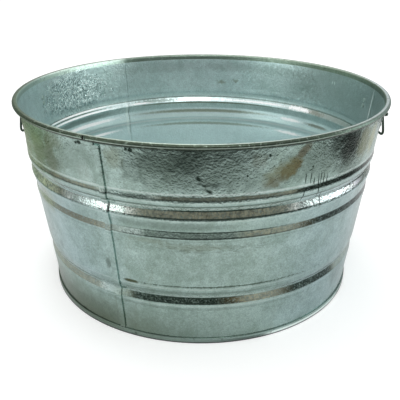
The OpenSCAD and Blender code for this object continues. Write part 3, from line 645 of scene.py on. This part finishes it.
def inside_marks_and_painted_light(tree, place, where, colour, rough, height):
    ragged = noise_of(tree, place, 60.0, 5, 0.65, 0.5)
    torn = noise_of(tree, place, 190.0, 4, 0.7, 0.4)
    flakes = noise_of(tree, place, 150.0, 4, 0.65, 1.4)
    left = patch(tree, where, ragged, -119.0, 276.0, 25.0, 52.0)
    # Painted light: the lower inside is paler, standing in for light that the walls throw on each other
    low = fade(tree, where["Height"], 224.0, 205.0, 0, 0.55)
    colour = mixed(tree, low, colour, (0.82, 0.94, 0.95, 1))
    colour = mixed(tree, product(tree, left, 0.4), colour, (0.34, 0.45, 0.44, 1))
    bright = product(tree, left, fade(tree, flakes, 0.52, 0.60, 0, 0.85))
    dull = product(tree, left, fade(tree, flakes, 0.48, 0.40, 0, 0.85))
    colour = mixed(tree, bright, colour, (0.92, 1.0, 0.98, 1))
    colour = mixed(tree, dull, colour, (0.16, 0.23, 0.22, 1))
    # Stains inside, with painted highlights and painted shade
    colour = lay(tree, where, torn, colour, INSIDE_STAINS_AND_LIGHT)[0]
    # The rim's curl: painted reflections round the tub and along its roll
    rim = fade(tree, where["Height"], 314.6, 315.4)
    roll = where["Roll"]
    coat = round_ramp(tree, where, RIM_INNER_REFLECTION)["Color"]
    coat = mixed(tree, fade(tree, roll, -45.0, -30.0), coat, round_ramp(tree, where, RIM_TOP_REFLECTION)["Color"])
    coat = mixed(tree, fade(tree, roll, 12.0, 28.0), coat, round_ramp(tree, where, RIM_FACE_REFLECTION)["Color"])
    # A painted highlight along the curl's low edge, then painted shade in the gap below it
    edge = product(tree, fade(tree, roll, 84.0, 90.0), fade(tree, roll, 106.0, 100.0))
    coat = mixed(tree, edge, coat, (0.55, 0.64, 0.59, 1))
    coat = mixed(tree, fade(tree, roll, 100.0, 108.0), coat, (0.03, 0.04, 0.03, 1))
    coat = mixed(tree, fade(tree, torn, 0.54, 0.66, 0, 0.5), coat, (*MURK_AND_SHADE, 1))
    coat = mixed(tree, fade(tree, torn, 0.44, 0.34, 0, 0.35), coat, (0.50, 0.60, 0.54, 1))
    coat = times(tree, coat, (0.95, 1.0, 0.94, 1))
    around = product(tree, fade(tree, roll, 36.0, 46.0), fade(tree, roll, 120.0, 104.0))
    # The notch: a painted dark spot of shade on the curl
    for at, wide, tint in NOTCH_SHADE:
        off = math_node(tree, "ABSOLUTE", math_node(tree, "SUBTRACT", where["Azimuth"], at))
        coat = mixed(tree, product(tree, fade(tree, off, wide, wide * 0.7), around), coat, (*tint, 1))
    colour = mixed(tree, rim, colour, coat)
    rough = scaled(tree, left, -0.10, rough)
    crumpled = product(tree, product(tree, left, flakes), 0.0012)
    # Painted highlights along the beads and seams inside, made matt
    colour, painted_highlights = lay(tree, where, torn, colour, INSIDE_HIGHLIGHTS)
    return colour, rough, math_node(tree, "ADD", height, crumpled), highest(tree, painted_highlights)


# The lower edge of the bottom seam: painted shade at the left and the front, a painted highlight at the right
LIP_SHADE_AND_HIGHLIGHT = (
    (-180, 0.5, MURK_AND_SHADE), (-60, 0.6, MURK_AND_SHADE), (0, 0.6, MURK_AND_SHADE), (16, 0.75, SOOT_AND_SHADE), (22, 0.75, SOOT_AND_SHADE), (26, 0.85, PALE_HIGHLIGHT),
    (58, 0.85, PALE_HIGHLIGHT), (66, 0.4, MURK_AND_SHADE), (180, 0.5, MURK_AND_SHADE))


def base_marks_and_painted_light(tree, place, where, colour, rough, height):
    ragged = noise_of(tree, place, 60.0, 5, 0.65, 0.5)
    # Painted shade near the ground, as on the wall
    ground = round_ramp(tree, where, GROUND)
    colour = mixed(tree, ground["Alpha"], colour, ground["Color"])
    colour = mixed(tree, fade(tree, where["Height"], 8.0, 8.6, 0, 0.75), colour, (0.13, 0.16, 0.14, 1))
    edge = round_ramp(tree, where, LIP_SHADE_AND_HIGHLIGHT)
    lip = product(tree, fade(tree, where["Height"], 6.4, 5.4), edge["Alpha"])
    colour = mixed(tree, lip, colour, edge["Color"])
    # Painted shade along the foot, where the base meets the floor
    foot = fade(tree, where["Height"], 2.6, 1.9, 0, 0.9)
    colour = mixed(tree, foot, colour, (0.05, 0.05, 0.055, 1))
    spots = fade(tree, ragged, 0.62, 0.67, 0, 0.7)
    colour = mixed(tree, spots, colour, (*SOOT_AND_SHADE, 1))
    return colour, rough, height, lip


def floor_marks(tree, place, where, colour, rough, height):
    ragged = noise_of(tree, place, 22.0, 5, 0.65, 0.8)
    colour = mixed(tree, fade(tree, ragged, 0.46, 0.68, 0, 0.45), colour, (*MURK_AND_SHADE, 1))
    tide = product(tree, fade(tree, ragged, 0.44, 0.47), fade(tree, ragged, 0.51, 0.48), 0.22)
    colour = mixed(tree, tide, colour, (0.50, 0.52, 0.46, 1))
    return colour, rough, height, None


OUTSIDE = zinc("zinc_outside", (0.35, 0.475, 0.42), (0.48, 0.63, 0.585), 0.20, 1.5, marks=outside_marks_and_painted_light)
# The inside is paler than the outside: painted light for the light that the walls throw on each other
INSIDE = zinc("zinc_inside", (0.50, 0.635, 0.625), (0.65, 0.775, 0.775), 0.32, 1.3, 0.86, marks=inside_marks_and_painted_light)
BASE = zinc("zinc_bottom", (0.37, 0.50, 0.46), (0.49, 0.64, 0.61), 0.22, 1.0, marks=base_marks_and_painted_light)
FLOOR = zinc("zinc_floor", (0.24, 0.31, 0.29), (0.36, 0.44, 0.42), 0.55, 1.0, 0.55, marks=floor_marks)
WIRE = zinc("zinc_wire", (0.05, 0.07, 0.05), (0.13, 0.17, 0.14), 0.42, 0.3)
FITTING = zinc("zinc_fittings", (0.42, 0.51, 0.46), (0.58, 0.68, 0.64), 0.34, 0.4)
HIDDEN_WIRE = zinc("wire_in_rim", (0.05, 0.05, 0.045), (0.12, 0.12, 0.11), 0.5, 0.3)


# Wall sheets: each is rolled up to its last seam, set out over the next sheet's edge, and folded under it

def seam_degrees(width):
    return math.degrees(width / SEAM_R)


def in_lock(vert):
    return LOCK_LOW < vert.co.z / MM < LOCK_HIGH


def draw_on(bm, ring, along, out, whole=False):
    """Draws the sheet's edge on by a width round the wall and a distance out of it, in mm."""
    verts, new = extrude(bm, [e for e in of_kind(ring, BMEdge) if whole or all(in_lock(v) for v in e.verts)])
    turn(bm, verts, seam_degrees(along))
    for v in verts:
        if in_lock(v):
            push_out(v, out)
    return new


def make_wall_sheet(name, number, node):
    bm = bmesh.new()
    verts = chain(bm, HOOK + WALL)
    tip = bm.verts.new(verts[-1].co)
    spin(bm, [tip], CURL_TURN, 30, axis=(1, 0, 0), cent=(0, -CURL_AT[0] * MM, CURL_AT[1] * MM))
    round_off(bm, verts[3:-1], WALL_BEND)
    bmesh.ops.remove_doubles(bm, verts=bm.verts, dist=1e-6)
    cut_long(bm, WALL_MESH)
    start = SEAM_FIRST + SEAM_TURN * number
    first = start - seam_degrees(EDGE_BELOW)
    last = start + SEAM_TURN - seam_degrees(EDGE_ABOVE)
    turn(bm, bm.verts, first)
    ring = list(bm.verts) + list(bm.edges)
    far = spin(bm, ring, last - first, 150)
    # Edge folded out and forward, inside the seam
    under = draw_on(bm, ring, 0, EDGE_RISE)
    draw_on(bm, under, EDGE_REACH, 0)
    outer = [e for e in of_kind(ring, BMEdge) if not all(in_lock(v) for v in e.verts)]
    turn(bm, extrude(bm, outer)[0], seam_degrees(-LIP_BACK))
    # Edge set out over the next sheet, folded down and back
    for along, out in STEP_OVER:
        far = draw_on(bm, far, along, out, whole=True)
    for along, out in FOLD_UNDER:
        far = draw_on(bm, far, along, out)
    for v in bm.verts:
        push_out(v, unevenness(v.co))
    middle = math.radians((first + last) / 2)
    away = Vector((math.sin(middle), -math.cos(middle), 0))
    shell(bm, (away * 0.275 + Vector((0, 0, 0.13)), away))
    piece(name, bm, "tub", [node], [OUTSIDE, INSIDE], SHEET)


make_wall_sheet("wall_sheet_right", 0, "wall_panel_right")
make_wall_sheet("wall_sheet_back", 1, "wall_panel_back")
make_wall_sheet("wall_sheet_left", 2, "wall_panel_left")


# Bottom: a disc with a stiffening ring, pressed down at its edge, round under the wall and up over the hook. Heights
# of the floor and the ring, then the channel of its edge: inner and outer radius and top
FLOOR_Z, RING_Z = 7.5, 10
CHANNEL_IN, CHANNEL_OUT, CHANNEL_TOP = 259.75, 263, 9
BOTTOM = ((0.01, FLOOR_Z), (192, FLOOR_Z), (195.75, RING_Z), (204.25, RING_Z), (208, FLOOR_Z), (CHANNEL_IN, FLOOR_Z),
          (CHANNEL_IN, 0), (CHANNEL_OUT, 0), (CHANNEL_OUT, CHANNEL_TOP), (FOOT_R + 0.15, CHANNEL_TOP))


def make_bottom():
    bm = bmesh.new()
    verts = chain(bm, BOTTOM)
    for corners, bend in ((verts[1:5], 1.2), ([verts[5]], 1.2), (verts[6:9], 0.55)):
        round_off(bm, corners, bend, 3)
    cut_long(bm, 16)
    spin(bm, list(bm.verts) + list(bm.edges), 360, 240, merge=True)
    shell(bm, (Vector((0, -0.263, 0.004)), Vector((0, -1, 0))))
    piece("bottom_sheet", bm, "tub", ["bottom_pan"], [BASE, FLOOR], SHEET)


make_bottom()

# Handles: one length of wire, bent at the ears and the corners, with a grip that bows towards the wall
PIVOT = Vector((292.983, 0, 298))
LEG_Y, DROP, HANG, TOP_BEND, CORNER, END = 45, 42, 8, 5, 10, 17
EAR_Y, EAR_W = 50.6, 16
WIRE_R, END_BEVEL = 2, 0.5
foot = (PIVOT.x + DROP * math.sin(math.radians(HANG)), PIVOT.z - DROP * math.cos(math.radians(HANG)))
GRIP_BOW = (foot[0] - wall_r(foot[1]) - 3 * LAP - WIRE_R - 0.4) / math.cos(math.radians(HANG))
GRIP_TURN = 2 * math.degrees(math.atan(GRIP_BOW / (LEG_Y + CORNER)))
GRIP_R = (LEG_Y - CORNER * math.cos(math.radians(GRIP_TURN))) / math.sin(math.radians(GRIP_TURN))


def make_handle(name, side, node):
    bm = bmesh.new()
    half_end = LEG_Y + TOP_BEND + END
    ring = bmesh.ops.create_circle(bm, cap_ends=True, segments=20, radius=(WIRE_R - END_BEVEL) * MM)["verts"]
    turn(bm, ring, 90, "X")
    bmesh.ops.translate(bm, verts=ring, vec=(0, half_end * MM, 0))
    edge = list(bm.edges)

    def pull(edges, vec, grow=1.0):
        verts, new = extrude(bm, edges)
        bmesh.ops.translate(bm, verts=verts, vec=Vector(vec) * MM)
        if grow != 1.0:
            centre = sum((v.co for v in verts), Vector()) / len(verts)
            bmesh.ops.scale(bm, verts=verts, vec=(grow, 1, grow), space=Matrix.Translation(-centre))
        return new

    edge = pull(edge, (0, -END_BEVEL, 0), WIRE_R / (WIRE_R - END_BEVEL))
    edge = pull(edge, (0, END_BEVEL - END, 0))
    edge = spin(bm, edge, 90, 8, axis=(1, 0, 0), cent=(0, LEG_Y * MM + TOP_BEND * MM, -TOP_BEND * MM))
    edge = pull(edge, (0, 0, CORNER + TOP_BEND - DROP))
    slant = math.radians(GRIP_TURN)
    inward = Vector((-math.sin(slant), -math.cos(slant), 0))
    corner = Vector((0, LEG_Y, CORNER - DROP)) + inward * CORNER
    edge = spin(bm, edge, 90, 10, axis=Vector((0, 0, -1)).cross(inward), cent=corner * MM)
    spin(bm, edge, GRIP_TURN, 12, axis=(0, 0, 1), cent=Vector((GRIP_R - GRIP_BOW, 0, -DROP)) * MM)
    bmesh.ops.mirror(bm, geom=list(bm.verts) + list(bm.edges) + list(bm.faces), axis="Y", merge_dist=1e-6)
    weld(bm, 2e-6)
    for v in bm.verts:
        v.co.x += 0.0004 * noise.noise(v.co * 30)
    place = (Matrix.Rotation(math.radians(side), 4, "Z") @ Matrix.Translation(PIVOT * MM)
             @ Matrix.Rotation(math.radians(-HANG), 4, "Y"))
    bmesh.ops.transform(bm, matrix=place, verts=bm.verts)
    piece(name, bm, node, [node], [WIRE], sharp=40)


make_handle("grip_wire_right", 0, "handle_right")
make_handle("grip_wire_left", 180, "handle_left")


# Ears: a strap that lies on the wall and rolls over the handle's wire. Its length below the wire and how far it rolls,
# then the radius of the roll's bore, the gap to the wall and the strap's thickness
EAR_DROP, EAR_TURN = 27, 318
EAR_BORE, EAR_SEAT, EAR_THICK = 2.3, 0.3, 1.2


def make_ear(name, side, mirrored, node):
    bm = bmesh.new()
    low = PIVOT.z - EAR_DROP
    heights = [low + k * 2.0 for k in range(int(EAR_DROP / 2.0))] + [PIVOT.z]
    verts = [bm.verts.new((0, EAR_Y * MM, z * MM)) for z in heights]
    join(bm, verts)
    tip = bm.verts.new(verts[-1].co)
    spin(bm, [tip], EAR_TURN, 18, axis=(0, 1, 0), cent=(EAR_BORE * MM, EAR_Y * MM, PIVOT.z * MM))
    bmesh.ops.remove_doubles(bm, verts=bm.verts, dist=1e-6)
    ring = list(bm.verts) + list(bm.edges)
    steps = 16
    for k in range(steps):
        verts, ring = extrude(bm, ring)
        bmesh.ops.translate(bm, verts=verts, vec=(0, EAR_W / steps * MM, 0))
    for v in bm.verts:
        y, z = v.co.y / MM, v.co.z / MM
        across = (y - EAR_Y - EAR_W / 2) / (EAR_W / 2)
        below = low + EAR_W / 2 - z
        if below > 0 and v.co.x == 0:
            reach = math.sqrt(max(0.0, 1 - (below / (EAR_W / 2)) ** 2))
            y = EAR_Y + EAR_W / 2 + across * reach * EAR_W / 2
            v.co.y = y * MM
        r = wall_r(z) + unevenness(Vector((0.28, y * MM, z * MM)))
        plate = math.sqrt(r * r - y * y) + EAR_SEAT + EAR_THICK
        barrel = PIVOT.x - EAR_BORE
        neck = plate + (barrel - plate) * smooth(PIVOT.z - 10, PIVOT.z - 1, z)
        v.co.x += (neck if v.co.x < 1e-7 else barrel) * MM
    bmesh.ops.remove_doubles(bm, verts=bm.verts, dist=1e-6)
    shell(bm, (Vector((0.29, (EAR_Y + 8) * MM, 0.28)), Vector((1, 0, 0))))
    if mirrored:
        bmesh.ops.scale(bm, verts=bm.verts, vec=(1, -1, 1))
        bmesh.ops.reverse_faces(bm, faces=bm.faces)
    turn(bm, bm.verts, side)
    piece(name, bm, "tub", [node], [FITTING], EAR_THICK)


make_ear("ear_strap_right_front", 0, True, "ear_right_front")
make_ear("ear_strap_right_back", 0, False, "ear_right_back")
make_ear("ear_strap_left_front", 180, False, "ear_left_front")
make_ear("ear_strap_left_back", 180, True, "ear_left_back")


# Rivets: a domed head outside, a flat one inside, and two to an ear. Radius and height of the dome, how far the upper
# one is below the wire and the lower one below that, and how far the wall leans out
RIVET_R, RIVET_DOME = 3.7, 1.8
RIVET_TOP, RIVET_PITCH = 9.5, 9.5
WALL_LEAN = 5.7


def make_rivets(name, side, node):
    bm = bmesh.new()
    base = EAR_SEAT + EAR_THICK + 0.1
    sphere = (RIVET_R ** 2 + RIVET_DOME ** 2) / (2 * RIVET_DOME)
    steps = 6
    tilt = math.asin(RIVET_R / sphere)
    points = [(sphere * math.sin(tilt * k / steps), base + RIVET_DOME - sphere * (1 - math.cos(tilt * k / steps)))
              for k in range(steps + 1)]
    points += [(RIVET_R - 0.1, base - 0.1), (2, base - 0.1), (2, -0.8), (3.5, -0.8), (3.7, -0.95), (3.7, -1.4),
               (3.4, -1.6), (0, -1.6)]
    for sign in (1, -1):
        for k in range(2):
            z = PIVOT.z - RIVET_TOP - RIVET_PITCH * k
            y = EAR_Y + EAR_W / 2
            before = set(bm.verts)
            verts = [bm.verts.new((h * MM, 0, r * MM)) for r, h in points]
            spin(bm, verts + join(bm, verts), 360, 28, axis=(1, 0, 0), merge=True)
            mine = [v for v in bm.verts if v not in before]
            r = wall_r(z)
            place = (Matrix.Translation(Vector((math.sqrt(r * r - y * y), sign * y, z)) * MM)
                     @ Matrix.Rotation(sign * math.asin(y / r), 4, "Z")
                     @ Matrix.Rotation(math.radians(WALL_LEAN), 4, "Y"))
            bmesh.ops.transform(bm, matrix=place, verts=mine)
    turn(bm, bm.verts, side)
    weld(bm)
    piece(name, bm, "tub", [node], [FITTING])


make_rivets("rivet_heads_right", 0, "rivets_right")
make_rivets("rivet_heads_left", 180, "rivets_left")


# The hoop inside the rim's curl, with its ends butted at the back
def make_hoop():
    bm = bmesh.new()
    ring = bmesh.ops.create_circle(bm, cap_ends=True, segments=16, radius=RIM_WIRE_R * MM)["verts"]
    turn(bm, ring, 90, "X")
    bmesh.ops.translate(bm, verts=ring, vec=(CURL_AT[0] * MM, 0, CURL_AT[1] * MM))
    gap = math.degrees(HOOP_GAP / CURL_AT[0])
    turn(bm, ring, 90 + gap)
    last = spin(bm, list(bm.verts) + list(bm.edges), 360 - gap, 240)
    bmesh.ops.contextual_create(bm, geom=of_kind(last, BMEdge))
    bmesh.ops.recalc_face_normals(bm, faces=bm.faces)
    piece("rim_hoop", bm, "tub", ["rim_wire"], [HIDDEN_WIRE], sharp=40)


make_hoop()


# Studio: a white floor, a white world, and cards that only the metal sees
def plain(name, colour):
    material = bpy.data.materials.new(name)
    material.use_nodes = True
    shader = material.node_tree.nodes["Principled BSDF"]
    shader.inputs["Base Color"].default_value = (*colour, 1)
    shader.inputs["Roughness"].default_value = 1.0
    shader.inputs["Specular IOR Level"].default_value = 0.0
    return material


def staged(name, bm, material, only_mirrored=True):
    obj = mesh_object(name, bm, [material])
    if only_mirrored:
        obj.visible_camera = False
        obj.visible_diffuse = False
        obj.visible_shadow = False
        obj.visible_transmission = False


def make_floor():
    material = plain("floor_white", (0.86, 0.86, 0.86))
    tree = material.node_tree
    ray = put(tree, "ShaderNodeLightPath")
    seen = highest(tree, [ray.outputs["Is %s Ray" % kind] for kind in ("Camera", "Glossy", "Transmission")])
    shader = tree.nodes["Principled BSDF"]
    shader.inputs["Emission Color"].default_value = (1, 1, 1, 1)
    tree.links.new(product(tree, seen, 0.22), shader.inputs["Emission Strength"])
    bm = bmesh.new()
    bmesh.ops.create_grid(bm, x_segments=2, y_segments=2, size=8)
    staged("floor", bm, material, only_mirrored=False)


# The screen round the tub: its radius and height in metres, azimuth and brightness of each stop, and the azimuth up to
# which its light is greener
SCREEN_R, SCREEN_H = 2.4, 1.5
SCREEN = ((-180, 0.40), (-136.8, 0.30), (-82.8, 0.30), (-70.2, 0.7), (-63, 2.0), (-47.52, 2.0), (-39.6, 0.25),
          (-7.2, 0.15), (18, 0.15), (36, 0.22), (57.6, 0.25), (66.6, 0.6), (75.6, 2.4), (102.6, 2.4), (108, 0.5),
          (133.2, 0.35), (180, 0.40))
GREEN_BEFORE = -72


def make_cloth():
    """A grey cloth round the tub, darker away from it, that only the metal mirrors."""
    material = plain("cloth_grey", (0.5, 0.5, 0.5))
    tree = material.node_tree
    place = put(tree, "ShaderNodeTexCoord").outputs["Object"]
    parts = put(tree, "ShaderNodeSeparateXYZ", {0: place}).outputs
    far = put(tree, "ShaderNodeVectorMath", {0: place}, operation="LENGTH").outputs["Value"]
    front = fade(tree, parts[1], -0.80, -0.60, 1.0, 0.0)
    right = product(tree, fade(tree, parts[0], 0.72, 0.80), fade(tree, parts[1], 0.30, 0.08))
    left = product(tree, fade(tree, parts[0], -0.45, -0.85), fade(tree, parts[1], -0.25, 0.15))
    edge = highest(tree, [front, right, fade(tree, far, 1.0, 1.1)])
    colour = mixed(tree, left, (0.66, 0.66, 0.66, 1), (0.24, 0.30, 0.19, 1))
    colour = mixed(tree, edge, colour, (0.07, 0.075, 0.07, 1))
    tree.links.new(colour, tree.nodes["Principled BSDF"].inputs["Base Color"])
    bm = bmesh.new()
    bmesh.ops.create_circle(bm, cap_ends=True, segments=64, radius=SCREEN_R)
    bmesh.ops.translate(bm, verts=bm.verts, vec=(0, 0, 0.0002))
    staged("cloth", bm, material)


def make_screen():
    """A round screen about the tub: dark, with lighter gaps, that only the metal mirrors."""
    material = bpy.data.materials.new("screen_grey")
    material.use_nodes = True
    tree = material.node_tree
    tree.nodes.remove(tree.nodes["Principled BSDF"])
    place = put(tree, "ShaderNodeTexCoord").outputs["Object"]
    where = use(tree, PLACE, {"Place": place})
    stops = []
    for azimuth, grey in SCREEN:
        tint = (0.80, 1.0, 0.78) if azimuth < GREEN_BEFORE else (0.90, 1.0, 0.98)
        stops.append((azimuth, 1, [grey * share for share in tint]))
    glow = put(tree, "ShaderNodeEmission", {"Color": round_ramp(tree, where, stops)["Color"], "Strength": 1.0})
    tree.links.new(glow.outputs[0], tree.nodes["Material Output"].inputs["Surface"])
    bm = bmesh.new()
    bmesh.ops.create_circle(bm, segments=96, radius=SCREEN_R)
    bmesh.ops.translate(bm, verts=extrude(bm, bm.edges)[0], vec=(0, 0, SCREEN_H))
    staged("screen", bm, material)


make_floor()
make_cloth()
make_screen()


# Each lamp is turned to this height above the floor, in metres
LAMP_AIM = 0.2


def make_lamp(name, at, size, power):
    data = bpy.data.lights.new(name, "AREA")
    data.shape = "RECTANGLE"
    data.size, data.size_y = size
    data.energy = power
    lamp = placed(name, data)
    lamp.location = at
    lamp.rotation_euler = (Vector((0, 0, LAMP_AIM)) - Vector(at)).to_track_quat("-Z", "Y").to_euler()


make_lamp("lamp_front", (0.3, -1.9, 2.2), (1.6, 0.8), 14)
make_lamp("lamp_over", (-0.3, 0.5, 2.4), (1.4, 1.0), 12)

world = bpy.data.worlds.new("world_white")
bpy.context.scene.world = world
world.use_nodes = True
world.node_tree.nodes["Background"].inputs["Color"].default_value = (1, 1, 1, 1)
world.node_tree.nodes["Background"].inputs["Strength"].default_value = 1.0

# Camera, from the fit of the rim, the base and the beads to the photograph. Its place is in metres, and the focal
# length in pixels of a picture 400 across
CAMERA_AT = Vector((0.0281, -0.9761, 0.5509))
PITCH, YAW = 23.97, 0.122
FOCAL, PICTURE, SENSOR = 588.8, 400, 36
lens = bpy.data.cameras.new("camera")
lens.sensor_width = SENSOR
lens.lens = FOCAL / PICTURE * SENSOR
camera = placed("camera", lens)
heading = math.atan2(-CAMERA_AT.y, -CAMERA_AT.x) + math.radians(YAW)
pitch = math.radians(PITCH)
ahead = Vector((math.cos(heading) * math.cos(pitch), math.sin(heading) * math.cos(pitch), -math.sin(pitch)))
camera.location = CAMERA_AT
camera.rotation_euler = ahead.to_track_quat("-Z", "Y").to_euler()
bpy.context.scene.camera = camera
bpy.context.scene.view_settings.view_transform = "Standard"
